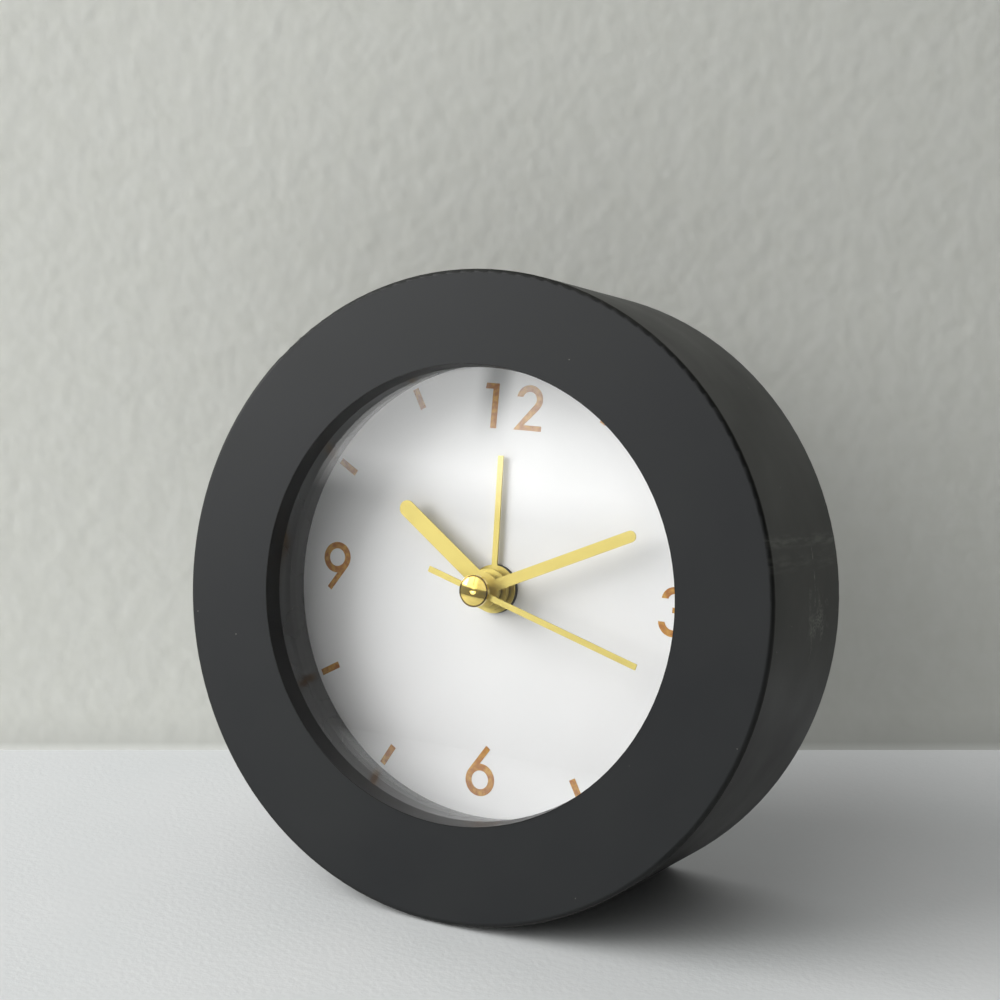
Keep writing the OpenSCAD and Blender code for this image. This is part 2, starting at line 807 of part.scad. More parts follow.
module hour_wheel() color([0.9, 0.88, 0.8]) place() difference() {
    union() {
        gear(z_hour, hand_module, wheel_tooth, mesh_phase(0, z_minute_pinion, z_hour, motion_angle + 180),
            hour_s, wheel_t);
        disc(hour_pipe_r, hour_hand_s - pipe_proud, hour_s + wheel_t - hour_hand_s + pipe_proud);
        disc(hour_hub_r, hour_s - 2 * hub_step, 2 * hub_step + eps);
    }
    disc(minute_pipe_r + running, hour_hand_s - through, hour_s);
}

module alarm_wheel() color([0.8, 0.3, 0.2]) place() difference() {
    union() {
        gear(z_alarm, hand_module, wheel_tooth, 0, alarm_s, wheel_t);
        disc(alarm_pipe_r, alarm_hand_s - pipe_proud, alarm_s + wheel_t - alarm_hand_s + pipe_proud);
    }
    disc(hour_pipe_r + running, alarm_hand_s - through, alarm_s);
}

// Wheels on their own arbors

// Arbor with its pivots in the mid plate and in the rear wall
module arbor() {
    disc(pivot_r, mid_s + pivot_end_gap, rear_s - mid_s - 2 * pivot_end_gap);
}

module minute_wheel() color([0.9, 0.88, 0.8]) place() at(motion_pos) {
    gear(z_minute_wheel, hand_module, wheel_tooth,
        mesh_phase(0, z_cannon, z_minute_wheel, motion_angle), motion_s, wheel_t);
    gear(z_minute_pinion, hand_module, pinion_tooth, 0, hour_s - pinion_over,
        motion_s - hour_s + pinion_over + eps);
    disc(arbor_r, motion_s, mid_back_s + motion_boss_h - motion_s);
}

module third_wheel() color([0.9, 0.88, 0.8]) place() at(third_pos) {
    gear(z_third, train_module, wheel_tooth, 0, third_s, wheel_t);
    gear(z_leaves, centre_module, pinion_tooth, mesh_phase(0, z_centre, z_leaves, third_angle),
        centre_s - pinion_over, third_s - centre_s + pinion_over + eps);
    arbor();
}

module fifth_wheel() color([0.9, 0.88, 0.8]) place() at(fifth_pos) {
    gear(z_fifth, train_module, wheel_tooth, 0, fifth_s, wheel_t);
    gear(z_leaves, train_module, pinion_tooth, mesh_phase(0, z_second, z_leaves, fifth_angle),
        second_s - pinion_over, fifth_s - second_s + pinion_over + eps);
    arbor();
}

module rotor_arbor() color([0.9, 0.88, 0.8]) place() at(rotor_pos) {
    gear(z_leaves, train_module, pinion_tooth, mesh_phase(0, z_fifth, z_leaves, rotor_angle),
        fifth_s - pinion_over, wheel_t + 2 * pinion_over);
    arbor();
    disc(rotor_hub_r, magnet_s - pivot_end_gap, pivot_end_gap);
}

module rotor_magnet() color([0.25, 0.25, 0.27]) place() at(rotor_pos)
    tube(magnet_r, pivot_r + press_gap, magnet_s, magnet_t);

// Motor and electronics

module stator() color([0.6, 0.6, 0.62]) place() slab(stator_s, stator_t) difference() {
    union() {
        translate([coil_x[0], rotor_pos[1] - stator_bar_w / 2])
            square([coil_x[1] - coil_x[0], stator_bar_w]);
        for (x = [coil_x[0], coil_x[1] - leg_w])
            translate([x, rotor_pos[1]]) square([leg_w, coil_y + core_w / 2 - rotor_pos[1]]);
    }
    translate(rotor_pos) circle(stator_bore_r);
    for (x = stake_x) translate([x, coil_y]) circle(stake_r + running);
}

module coil_core() color([0.55, 0.55, 0.58]) place() slab(stator_s - stator_t, stator_t) difference() {
    translate([coil_x[0], coil_y - core_w / 2]) square([coil_x[1] - coil_x[0], core_w]);
    for (x = stake_x) translate([x, coil_y]) circle(stake_r + running);
}

module coil_winding() color([0.72, 0.38, 0.18]) place() {
    x0 = coil_x[0] + leg_w + coil_end_gap;
    x1 = coil_x[1] - leg_w - coil_end_gap;
    difference() {
        translate([0, coil_y, -(stator_s - stator_t / 2)]) rotate([0, 90, 0]) {
            translate([0, 0, x0]) cylinder(r = coil_r, h = x1 - x0);
            for (x = [x0, x1 - flange_t]) translate([0, 0, x]) cylinder(r = flange_r, h = flange_t);
        }
        slab(stator_s - stator_t - press_gap, stator_t + 2 * press_gap)
            translate([x0 - through, coil_y - core_w / 2 - press_gap])
                square([x1 - x0 + 2 * through, core_w + 2 * press_gap]);
    }
}

module circuit_board() color([0.1, 0.35, 0.2]) place() {
    slab(board_s, board_t) difference() {
        translate([board_x[0], board_y[0]]) square([board_x[1] - board_x[0], board_y[1] - board_y[0]]);
        for (p = board_pins) translate(p) circle(board_pin_r + running);
    }
    at((board_pins[0] + board_pins[1]) / 2) disc(chip_r, board_s + board_t - eps, chip_h);
}

module quartz_crystal() color([0.75, 0.75, 0.77]) place()
    translate([board_x[0] + crystal_inset[0], board_y[0] + crystal_inset[1],
        -(board_s + board_t + crystal_r)])
        rotate([0, 90, 0]) cylinder(r = crystal_r, h = crystal_len);

module sounder() color([0.15, 0.15, 0.16]) place() at(sounder_pos) difference() {
    union() {
        disc(sounder_r, rear_in_s - sounder_h, sounder_h);
        disc(sounder_step_r, rear_in_s - sounder_h - sounder_step_h, sounder_step_h + eps);
    }
    disc(sounder_port_r, rear_in_s - sounder_port_depth, sounder_port_depth + through);
}

// Battery and contacts

module battery() color([0.2, 0.2, 0.2]) place()
    translate([0, battery_y, -battery_s]) rotate([0, 90, 0]) {
        translate([0, 0, battery_x - battery_len])
            cylinder(r = battery_r, h = battery_len - battery_button_h);
        translate([0, 0, battery_x - battery_button_h - eps])
            cylinder(r = battery_button_r, h = battery_button_h + eps);
    }

// A flat plate against the button, with a foot that reaches the bay's end wall
module positive_contact() color([0.8, 0.8, 0.78]) place()
    translate([0, battery_y + contact_half, -battery_s]) rotate([90, 0, 0])
        linear_extrude(2 * contact_half) {
            translate([battery_x, -contact_half]) square([contact_t, 2 * contact_half]);
            translate([battery_x, contact_half - contact_t]) square([bay_x - battery_x, contact_t]);
        }

// A leaf folded to a blunt point that presses on the cell's flat end
module negative_contact() color([0.8, 0.8, 0.78]) place() {
    back_x = -bay_x;
    tip_x = battery_x - battery_len;
    translate([0, battery_y + contact_half, -battery_s]) rotate([90, 0, 0])
        linear_extrude(2 * contact_half) polygon([
            [back_x, -contact_half], [back_x + contact_t, -contact_half],
            [tip_x, -contact_tip], [tip_x, contact_tip],
            [back_x + contact_t, contact_half], [back_x, contact_half],
            [back_x, contact_half - contact_t],
            [tip_x - contact_t, contact_tip - contact_t / 2],
            [tip_x - contact_t, -contact_tip + contact_t / 2],
            [back_x, -contact_half + contact_t]]);
}

// A leaf beside the switch's stem, with its foot on the mid plate
module alarm_contact() color([0.8, 0.78, 0.6]) place() {
    leaf_x = switch_pos[0] + switch_travel / 2 + switch_stem[0] / 2 + end_gap;
    leaf_s = rear_in_s - leaf_end_gap;
    translate([leaf_x, switch_pos[1] - leaf_w / 2, -leaf_s])
        cube([leaf_t, leaf_w, leaf_s - mid_back_s]);
    translate([leaf_x, switch_pos[1] - leaf_w / 2, -(mid_back_s + leaf_t)])
        cube([leaf_foot, leaf_w, leaf_t]);
}

// Setting shafts, knobs and switch

module set_shaft(z, phase, gear_s, p) {
    at(p) {
        gear(z, hand_module, pinion_tooth, phase, gear_s - pinion_over, wheel_t + 2 * pinion_over);
        disc(set_pivot_r, inner_s - set_pivot_len, gear_s - inner_s + set_pivot_len);
        disc(set_shaft_r, gear_s + wheel_t, knob_seat_s - gear_s - wheel_t);
    }
}

// A ribbed knob on its shaft, with a hub that passes through the cover
module knob(p) {
    rib = 360 / knob_ribs;
    at(p) difference() {
        union() {
            slab(knob_s, knob_h) polygon([for (i = [0 : knob_ribs - 1])
                each [polar(knob_d / 2 - knob_rib_h, (i - 0.35) * rib), polar(knob_d / 2, (i - 0.18) * rib),
                    polar(knob_d / 2, (i + 0.18) * rib), polar(knob_d / 2 - knob_rib_h, (i + 0.35) * rib)]]);
            disc(knob_hub_r, knob_s - knob_gap - knob_hub_depth, knob_gap + knob_hub_depth + eps);
        }
        disc(set_shaft_r + press_gap, cover_s, knob_seat_s - cover_s);
        disc(knob_d / 2 - knob_rim, knob_s + knob_h - knob_dish, through);
    }
}

module time_set_shaft() color([0.9, 0.88, 0.8]) place()
    set_shaft(z_time_pinion, mesh_phase(mesh_phase(0, z_cannon, z_minute_wheel, motion_angle),
        z_minute_wheel, z_time_pinion, motion_to_knob), motion_s, time_knob);

module alarm_set_shaft() color([0.9, 0.88, 0.8]) place()
    set_shaft(z_alarm_pinion, mesh_phase(0, z_alarm, z_alarm_pinion, knob_angle), alarm_s, alarm_knob);

module time_set_knob() color([0.12, 0.12, 0.12]) place() knob(time_knob);

module alarm_set_knob() color([0.12, 0.12, 0.12]) place() knob(alarm_knob);

// Button, stem and sliding plate in one piece, at the off end of the slot
module alarm_switch() color([0.12, 0.12, 0.12]) place()
    at([switch_pos[0] - switch_travel / 2, switch_pos[1]]) {
        button_s = cover_back_s + seat_gap;
        grip = switch_button_h - switch_grip_depth;
        slab(rear_s + end_gap, switch_plate_t) square(switch_plate, center = true);
        slab(rear_in_s - switch_stem_in, button_s - rear_in_s + switch_stem_in + eps)
            square(switch_stem, center = true);
        slab(button_s, grip) button_outline();
        slab(button_s + grip - eps, switch_grip_depth + eps) difference() {
            button_outline();
            for (x = [-0.5, 0.5]) translate([x * switch_grip_pitch, 0])
                square([switch_grip_w, 2 * switch_button[1]], center = true);
        }
    }

module button_outline() {
    half = switch_button / 2;
    round_rect(-half[0], -half[1], half[0], half[1], switch_button_r);
}

// Back cover and door

module cover_outline_solid(s, t) {
    intersection() {
        place() disc(case_r - case_wall - seat_gap, s, t);
        above_floor(case_wall + seat_gap);
    }
}

module back_cover() color([0.14, 0.14, 0.14]) difference() {
    union() {
        cover_outline_solid(cover_s, cover_t);
        place() slab(rear_s + seat_gap, back_gap - seat_gap + eps) difference() {
            door_rect(ledge_w + collar_rim);
            door_rect(-ledge_w);
        }
    }
    place() {
        slab(cover_back_s - door_t, door_t + through) door_rect(0);
        slab(rear_s - through, case_depth) door_rect(-ledge_w);
        for (a = cover_boss_angles) at(polar(cover_boss_r, a)) {
            disc(screw_r + screw_hole_gap, cover_s - through, cover_t + 2 * through);
            disc(screw_head_r + seat_gap, cover_back_s - screw_sink, screw_sink + through);
        }
        for (p = [time_knob, alarm_knob]) at(p)
            disc(knob_hub_r + knob_hole_gap, cover_s - through, cover_t + 2 * through);
        at(sounder_pos) slab(cover_s - through, cover_t + 2 * through)
            for (y = slot_rows(cover_slot_pitch)) cover_slot(y);
        at(switch_pos) slab(cover_s - through, cover_t + 2 * through) switch_slot(switch_slot_gap);
    }
}

// A slot with round ends at height y
module cover_slot(y) {
    r = cover_slot_size[1] / 2;
    run = cover_slot_size[0] / 2 - r;
    translate([-run, y - r]) square([2 * run, 2 * r]);
    for (x = [-run, run]) translate([x, y]) circle(r);
}

module door_rect(grow) {
    translate([-door_x - grow, door_y[0] - grow])
        square([2 * (door_x + grow), door_y[1] - door_y[0] + 2 * grow]);
}

module battery_door() color([0.14, 0.14, 0.14]) place() difference() {
    union() {
        slab(cover_back_s - door_t, door_t) door_rect(-door_gap);
        slab(cover_back_s - door_t - door_skirt_h, door_skirt_h + eps) difference() {
            door_rect(-ledge_w - door_gap);
            door_rect(-ledge_w - door_gap - door_skirt_t);
        }
    }
    at([0, door_y[1] - door_gap]) disc(notch_r, cover_back_s - notch_depth, notch_depth + through);
}

module cover_screws() color([0.5, 0.5, 0.52]) place()
    for (a = cover_boss_angles) at(polar(cover_boss_r, a))
        screw(screw_r, cover_t - screw_sink + screw_len - screw_end_gap, screw_head_r, screw_head_h,
            cover_back_s - screw_sink);

case_body();
lens();
reveal_ring();
dial_plate();
dial_carrier();
carrier_screws();
back_cover();
cover_screws();
battery_door();
front_foot();
rear_foot();
movement_front_case();
movement_mid_plate();
movement_rear_case();
movement_screws();
second_hand();
hand_cap();
second_wheel();
minute_hand();
minute_pipe();
centre_wheel();
hour_hand();
hour_wheel();
alarm_hand();
alarm_wheel();
minute_wheel();
third_wheel();
fifth_wheel();
rotor_arbor();
rotor_magnet();
stator();
coil_core();
coil_winding();
circuit_board();
quartz_crystal();
sounder();
battery();
positive_contact();
negative_contact();
alarm_contact();
time_set_shaft();
time_set_knob();
alarm_set_shaft();
alarm_set_knob();
alarm_switch();
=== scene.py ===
import json
import math
import bpy
from mathutils import Matrix, Vector


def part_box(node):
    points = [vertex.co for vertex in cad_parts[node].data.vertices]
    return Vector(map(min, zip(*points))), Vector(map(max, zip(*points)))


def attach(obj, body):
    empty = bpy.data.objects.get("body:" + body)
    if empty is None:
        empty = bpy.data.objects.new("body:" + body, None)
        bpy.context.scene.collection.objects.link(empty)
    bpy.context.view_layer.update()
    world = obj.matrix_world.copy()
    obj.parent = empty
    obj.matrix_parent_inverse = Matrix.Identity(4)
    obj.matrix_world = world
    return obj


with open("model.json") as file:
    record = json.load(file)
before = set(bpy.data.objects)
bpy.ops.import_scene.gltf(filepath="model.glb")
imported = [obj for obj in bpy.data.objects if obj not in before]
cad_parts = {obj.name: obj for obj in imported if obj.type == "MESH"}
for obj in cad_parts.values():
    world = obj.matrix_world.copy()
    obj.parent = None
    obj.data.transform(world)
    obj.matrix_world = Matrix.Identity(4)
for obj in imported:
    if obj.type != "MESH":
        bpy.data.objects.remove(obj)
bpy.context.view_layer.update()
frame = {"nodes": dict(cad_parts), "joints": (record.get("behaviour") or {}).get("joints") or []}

MM = 0.001

# The clock's own frame, read from the joint of the second hand:
# x to 3 o'clock, y to 12, and depth into the case
SPIN = next(joint for joint in frame["joints"] if joint["name"] == "second_spin")
INTO = Vector(SPIN["axis"]).normalized()
HUB = Vector(SPIN["pos_m"])
RIGHT = Vector((1, 0, 0))
UP = RIGHT.cross(INTO)

# The world's own directions
ORIGIN = (0, 0, 0)
FRONTWARD = Vector((0, -1, 0))
UPWARD = Vector((0, 0, 1))

# Camera: its place from the middle of the face in metres, its turn and dip in degrees,
# its focal length and sensor in millimetres, and its near and far limits in metres
CAMERA_FROM_FACE = Vector((0.1444, -0.2702, 0.0863))
CAMERA_TURN = 26.69
CAMERA_DIP = 8.01
FOCAL_LENGTH = 61.75
SENSOR_WIDTH = 36
FRAME_SHIFT = -0.14
CLIP = (0.01, 50)

# Stage: how far the wall stands from the camera, and its height and the table's half width, in metres
WALL_DISTANCE = 0.383
STAGE_REACH = 2.0
TABLE_COLOR = (223, 225, 225)
WALL_COLOR = (206, 207, 201)

# The table's colour far in front of the clock, and the millimetres over which it gets there
TABLE_FAR_COLOR = (120, 121, 121)
TABLE_FADE = (500, 1900)

# The wall's own glow, and how it falls off to the right: from and to millimetres, from and to share
WALL_GLOW = 0.25
WALL_GLOW_FADE = (-60, 110, 1, 0.4)

# Window lamp: its turn to the left of the dial's front and its rise in degrees,
# its distance and size in metres, and its power in watts
WINDOW_TURN = 56
WINDOW_RISE = 29
WINDOW_DISTANCE = 1.5
WINDOW_SIZE = (1.13, 1.1)
WINDOW_POWER = 16.5

# Room light: each range of a direction, in thousandths, with its light at both ends
ROOM_ACROSS = (-900, 700, 1.0, 0.1)
ROOM_UPWARD = (-50, 350, 0.2, 0.5)
ROOM_COLOR = (1, 1, 0.99, 1)
BEHIND_WAY = Vector((-0.5, 0.8, 0.33))
BEHIND_RANGE = (100, 900, 0, 0.3)
BEHIND_FOOT = (-100, 100)

# Bright panes of the world: their turn to the left of the dial's front and their rise in degrees,
# their light, and where they, their dim parts and the bar between them fade, as tangents from their middle
PANE_TURN = 27.0
PANE_RISE = 17.0
PANE_LEVEL = 2.3
PANE_RIGHT_EDGE = (-0.6, -0.4)
PANE_LEFT_EDGE = (0.8, 1.1, 1, 0)
PANE_FOOT = (-0.18, -0.155)
PANE_TOP = (0.9, 1.3, 1, 0)
PANE_DIM_SIDE = (-0.11, -0.02, 0.4, 1)
PANE_DIM_FOOT = (0.05, 0.2)
PANE_DIM_TOP = (0.2, 0.4, 1, 0.6)
BAR_EDGE = (0.003, 0.012, 1, 0)
BAR_FOOT = (-0.14, -0.11)
CLOUDS = (0.3, 0.7, 0.82, 1)

# Foil marks on the dial, in dial millimetres
FOIL_THICKNESS = 0.05
STROKE = 1.28
THIN_STROKE = 1.1
BAR_IN = 38.35
BAR_OUT = 42.6
BAR_WIDTH = 1.25
ARC_STEPS = 40

# Marks printed on the back cover, in millimetres; words are placed from the middle of the switch,
# and an arrow's head is as wide to each side as its line times ARROW_HEAD
LETTER_SIZE = 2.1
LETTER_RISE = 4.2
WORDS = {"OFF": 1.4, "ON": -5.2}
ARROW_LINE = 0.6
ARROW_GAP = 2.8
ARROW_HEAD = 1.6

# The hands, with the radius of each one's boss, and the rounding of their edges, in millimetres
HANDS = {"hour_hand": 4.0, "minute_hand": 3.4, "second_hand": 2.0, "alarm_hand": 4.6}
EDGE_ROUND = 0.05
EDGE_ANGLE = 50

# Case: radii between which its front ring turns into its side and its painted shade sets in, the radius of
# its lip, inside which a deeper painted shade lies, and the middle and half size of its rubbed patch by
# height and depth, in millimetres
RING_EDGE = (59.0, 59.9)
LIP_RADIUS = 42.35
PATCH_HEIGHT = (1.0, 5.0)
PATCH_DEPTH = (28.0, 7.0)

# Coil, circuit board and battery, in millimetres
WIRE_PITCH = 0.16
FLANGE = 0.8
CHIP_HEIGHT = 0.6
BAND_EDGE = (13.2, 13.0)
CAP_LENGTH = 2.0
CAN_END = 0.35


def color(red, green, blue):
    """A picture colour from 0 to 255 as linear light, with full alpha."""
    shares = [part / 255 for part in (red, green, blue)]
    return tuple(((x + 0.055) / 1.055) ** 2.4 if x > 0.04 else x / 12.92 for x in shares) + (1,)


def depth_range(node):
    """Least and greatest depth of a node into the case, in metres from the hub's point."""
    depths = [(vertex.co - HUB).dot(INTO) for vertex in frame["nodes"][node].data.vertices]
    return min(depths), max(depths)


def reach(node):
    """Direction from the axis to the node's farthest point across the dial, and that distance in metres."""
    best = Vector((0, 0, 0))
    for vertex in frame["nodes"][node].data.vertices:
        offset = vertex.co - HUB
        offset -= offset.dot(INTO) * INTO
        if offset.length > best.length:
            best = offset
    return best.normalized(), best.length


def middle(node):
    """Middle of a node across the clock in dial millimetres, and half its width."""
    spots = [vertex.co - HUB for vertex in frame["nodes"][node].data.vertices]
    across = [spot.dot(RIGHT) / MM for spot in spots]
    upward = [spot.dot(UP) / MM for spot in spots]
    centre_x = (min(across) + max(across)) / 2
    centre_y = (min(upward) + max(upward)) / 2
    return centre_x, centre_y, (max(across) - min(across)) / 2


def print_frame(right, out, origin):
    """Where flat marks lie: x to the right and y up on a face that looks along out."""
    place = Matrix((right, UP, out)).transposed().to_4x4()
    place.translation = origin + out * FOIL_THICKNESS * MM / 2
    return place


FACE = HUB + INTO * depth_range("case_body")[0]
DIAL = HUB + INTO * depth_range("dial_plate")[0]
DIAL_FRAME = print_frame(RIGHT, -INTO, DIAL)
BACK_FRAME = print_frame(-RIGHT, INTO, HUB + INTO * depth_range("back_cover")[1])


class Nodes:
    """A node tree in the making, with short calls for the nodes that give it detail."""

    def __init__(self, tree, place):
        self.nodes = tree.nodes
        self.links = tree.links
        self.place = self.add("ShaderNodeTexCoord").outputs[place]

    def add(self, kind, inputs=None, **settings):
        node = self.nodes.new(kind)
        for key, value in settings.items():
            setattr(node, key, value)
        for key, value in (inputs or {}).items():
            self.feed(node.inputs[key], value)
        return node

    def feed(self, socket, value):
        if isinstance(value, bpy.types.NodeSocket):
            self.links.new(value, socket)
        else:
            socket.default_value = value

    def math(self, operation, *values):
        return self.add("ShaderNodeMath", dict(enumerate(values)), operation=operation).outputs[0]

    def noise(self, size, detail=2.0, place=None):
        """Noise from 0 to 1 whose lumps are about size millimetres wide."""
        inputs = {"Vector": place or self.place, "Scale": 1 / (size * MM), "Detail": detail}
        return self.add("ShaderNodeTexNoise", inputs).outputs[0]

    def span(self, value, from_low, from_high, low=0.0, high=1.0):
        """A value's range moved to another one, and held inside it."""
        inputs = {0: value, 1: from_low, 2: from_high, 3: low, 4: high}
        return self.add("ShaderNodeMapRange", inputs).outputs[0]

    def blend(self, share, first, second):
        """Two colours mixed."""
        mix = self.add("ShaderNodeMix", {0: share, 6: first, 7: second}, data_type="RGBA")
        return mix.outputs[2]

    def along(self, direction, origin=HUB):
        """Millimetres from a point along a direction."""
        offset = self.add("ShaderNodeVectorMath", {0: self.place, 1: origin}, operation="SUBTRACT")
        inputs = {0: offset.outputs[0], 1: direction / MM}
        return self.add("ShaderNodeVectorMath", inputs, operation="DOT_PRODUCT").outputs["Value"]

    def place_in(self, *axes, origin=HUB, stretch=(1, 1, 1)):
        """Coordinates in metres along given axes, each squeezed by its stretch."""
        parts = {}
        for index, (axis, squeeze) in enumerate(zip(axes, stretch)):
            parts[index] = self.math("MULTIPLY", self.along(axis, origin), MM / squeeze)
        return self.add("ShaderNodeCombineXYZ", parts).outputs[0]

    def radius(self, first=RIGHT, second=UP, origin=HUB):
        """Millimetres from an axis that runs through a point."""
        return self.length(self.along(first, origin), self.along(second, origin))

    def length(self, x, y):
        """Length of the hypotenuse over two sides."""
        return self.math("SQRT", self.math("ADD", self.math("MULTIPLY", x, x), self.math("MULTIPLY", y, y)))

    def times(self, *values):
        """Product of two or more values."""
        product = values[0]
        for value in values[1:]:
            product = self.math("MULTIPLY", product, value)
        return product

    def apart(self, value, other):
        """How far a value is from another one, either way."""
        return self.math("ABSOLUTE", self.math("SUBTRACT", value, other))

    def specks(self, spacing, size, amount=0.5):
        """Sparse round specks: 1 inside a speck and 0 outside."""
        inputs = {"Vector": self.place, "Scale": 1 / (spacing * MM)}
        cell = self.add("ShaderNodeTexVoronoi", inputs)
        near = self.math("LESS_THAN", cell.outputs["Distance"], size / spacing)
        lot = self.add("ShaderNodeSeparateColor", {0: cell.outputs["Color"]}).outputs[0]
        return self.times(near, self.math("LESS_THAN", lot, amount))


class Finish(Nodes):
    """A material in the making: a Principled shader and the nodes that drive it."""

    def __init__(self, name, base, roughness, metallic=0.0, **uniform):
        self.material = bpy.data.materials.new(name)
        self.material.use_nodes = True
        super().__init__(self.material.node_tree, "Object")
        self.shader = self.nodes["Principled BSDF"]
        self.output = self.nodes["Material Output"]
        self.base = base
        self.shader.inputs["Base Color"].default_value = base
        self.shader.inputs["Roughness"].default_value = roughness
        self.shader.inputs["Metallic"].default_value = metallic
        for socket, value in uniform.items():
            self.shader.inputs[socket.replace("_", " ")].default_value = value

    def tint(self, share, other):
        """Moves the base colour towards another one by a share from the nodes."""
        self.base = self.blend(share, self.base, other)
        self.feed(self.shader.inputs["Base Color"], self.base)

    def rough(self, value, low, high):
        """Roughness from low to high as a value goes from 0.3 to 0.7."""
        self.feed(self.shader.inputs["Roughness"], self.span(value, 0.3, 0.7, low, high))

    def bump(self, height, depth, strength=1.0):
        """Relief of a height from 0 to 1, depth millimetres deep, on top of any before it."""
        inputs = {"Strength": strength, "Distance": depth * MM, "Height": height}
        node = self.add("ShaderNodeBump", inputs)
        normal = self.shader.inputs["Normal"]
        if normal.is_linked:
            self.feed(node.inputs["Normal"], normal.links[0].from_socket)
        self.feed(normal, node.outputs[0])


def case_finish():
    """Satin charcoal coating: cloudy sheen, dust, painted shade on its side and deeper painted shade on its
    lip, and a rubbed patch on the right side.
    """
    f = Finish("case_charcoal", color(27, 29, 31), 0.44, Specular_IOR_Level=0.26)
    cloud = f.noise(18, 3)
    f.tint(f.span(cloud, 0.35, 0.7), color(30, 32, 33))
    from_axis = f.radius()
    tube = f.span(from_axis, *RING_EDGE)
    # Painted shade: the side is darker than the front ring, as it gets less light
    f.tint(tube, color(11, 11, 9))
    # Painted shade: the lip inside the opening is darker still, as it lies in shadow
    f.tint(f.math("LESS_THAN", from_axis, LIP_RADIUS), color(8, 8, 8))

    # Rubbed patch: a broken cloudlet, two smeared lines and a thin seam, on the right side alone
    height = f.along(UP)
    inward = f.along(INTO, FACE)
    fine = f.span(f.noise(0.5, 4), 0.42, 0.62)
    smear = f.span(f.noise(1, 3, f.place_in(RIGHT, UP, INTO, stretch=(3, 0.8, 5))), 0.4, 0.65)
    up_off = f.math("DIVIDE", f.math("SUBTRACT", height, PATCH_HEIGHT[0]), PATCH_HEIGHT[1])
    in_off = f.math("DIVIDE", f.math("SUBTRACT", inward, PATCH_DEPTH[0]), PATCH_DEPTH[1])
    off = f.math("ADD", f.length(up_off, in_off), f.span(f.noise(4, 4), 0.3, 0.7, -0.7, 0.9))
    cloudlet = f.times(f.span(off, 1, 0), fine)
    upper_line = f.span(f.apart(height, 15.5), 1.5, 0.3)
    lower_line = f.span(f.apart(height, 12.0), 2.2, 0.4, 0, 0.6)
    lines = f.times(f.math("MAXIMUM", upper_line, lower_line), smear, 0.3)
    seam = f.times(f.span(f.apart(inward, 25.0), 0.5, 0.1), fine, f.span(f.noise(2, 2), 0.5, 0.6))
    seam = f.times(seam, f.span(height, -2, 3), f.span(height, 16, 13, 0, 0.7))
    patch = f.math("MAXIMUM", f.math("MAXIMUM", cloudlet, lines), seam)
    side = f.times(f.span(f.along(RIGHT), 50, 56), tube)
    f.tint(f.times(patch, side, 0.6), color(150, 150, 143))

    f.tint(f.times(f.specks(4.5, 0.11, 0.5), 0.5), color(170, 168, 160))
    f.rough(cloud, 0.4, 0.47)
    f.bump(f.noise(0.16, 2), 0.012, 0.5)
    return f.material


def lens_finish():
    """Clear mineral glass with a faint waviness, which lets the lamps through to the dial."""
    f = Finish("lens_clear", color(253, 253, 253), 0.0, IOR=1.6, Transmission_Weight=1.0)
    f.tint(f.span(f.noise(30, 1), 0.3, 0.7, 0.0, 0.5), color(250, 251, 251))
    f.bump(f.noise(24, 1), 0.02, 0.2)
    path = f.add("ShaderNodeLightPath")
    lit = f.math("MAXIMUM", path.outputs["Is Shadow Ray"], path.outputs["Is Diffuse Ray"])
    clear = f.add("ShaderNodeBsdfTransparent")
    mix = f.add("ShaderNodeMixShader", {0: lit, 1: f.shader.outputs[0], 2: clear.outputs[0]})
    f.feed(f.output.inputs["Surface"], mix.outputs[0])
    return f.material


def reveal_finish():
    """Glossy black wall between the lens and the dial, with a painted reflection that lightens the middle
    of its depth.
    """
    f = Finish("reveal_gloss", color(16, 16, 17), 0.3, Coat_Weight=1.0, Coat_Roughness=0.16, Coat_IOR=1.5)
    f.tint(f.span(f.noise(9, 3), 0.35, 0.7), color(22, 23, 24))
    inward = f.along(INTO, FACE)
    # Painted reflection: a lighter band across the middle of the wall's depth
    painted_reflection_band = f.times(f.span(inward, 6, 8.5), f.span(inward, 14, 9), 0.8)
    f.tint(painted_reflection_band, color(58, 59, 60))
    f.tint(f.times(f.specks(4, 0.08, 0.3), 0.6), color(150, 150, 148))
    f.rough(f.noise(12, 2), 0.24, 0.34)
    f.bump(f.noise(9, 1), 0.01, 0.1)
    return f.material


def dial_finish():
    """Satin white card with a fine tooth."""
    f = Finish("dial_card", color(247, 247, 247), 0.42)
    f.tint(f.span(f.noise(14, 3), 0.35, 0.7), color(244, 244, 244))
    f.tint(f.times(f.specks(7, 0.07, 0.3), 0.35), color(150, 148, 142))
    f.rough(f.noise(0.5, 3), 0.36, 0.48)
    f.bump(f.noise(0.12, 2), 0.006, 0.35)
    return f.material


def foil_finish():
    """Stamped copper foil, slightly uneven as it took to the card."""
    f = Finish("foil_copper", color(178, 112, 44), 0.36, 0.1)
    f.tint(f.span(f.noise(0.9, 3), 0.4, 0.62), color(212, 162, 72))
    f.tint(f.span(f.noise(0.16, 2), 0.55, 0.75, 0, 0.4), color(150, 90, 36))
    f.rough(f.noise(0.4, 3), 0.3, 0.42)
    f.bump(f.noise(0.2, 2), 0.006, 0.6)
    return f.material


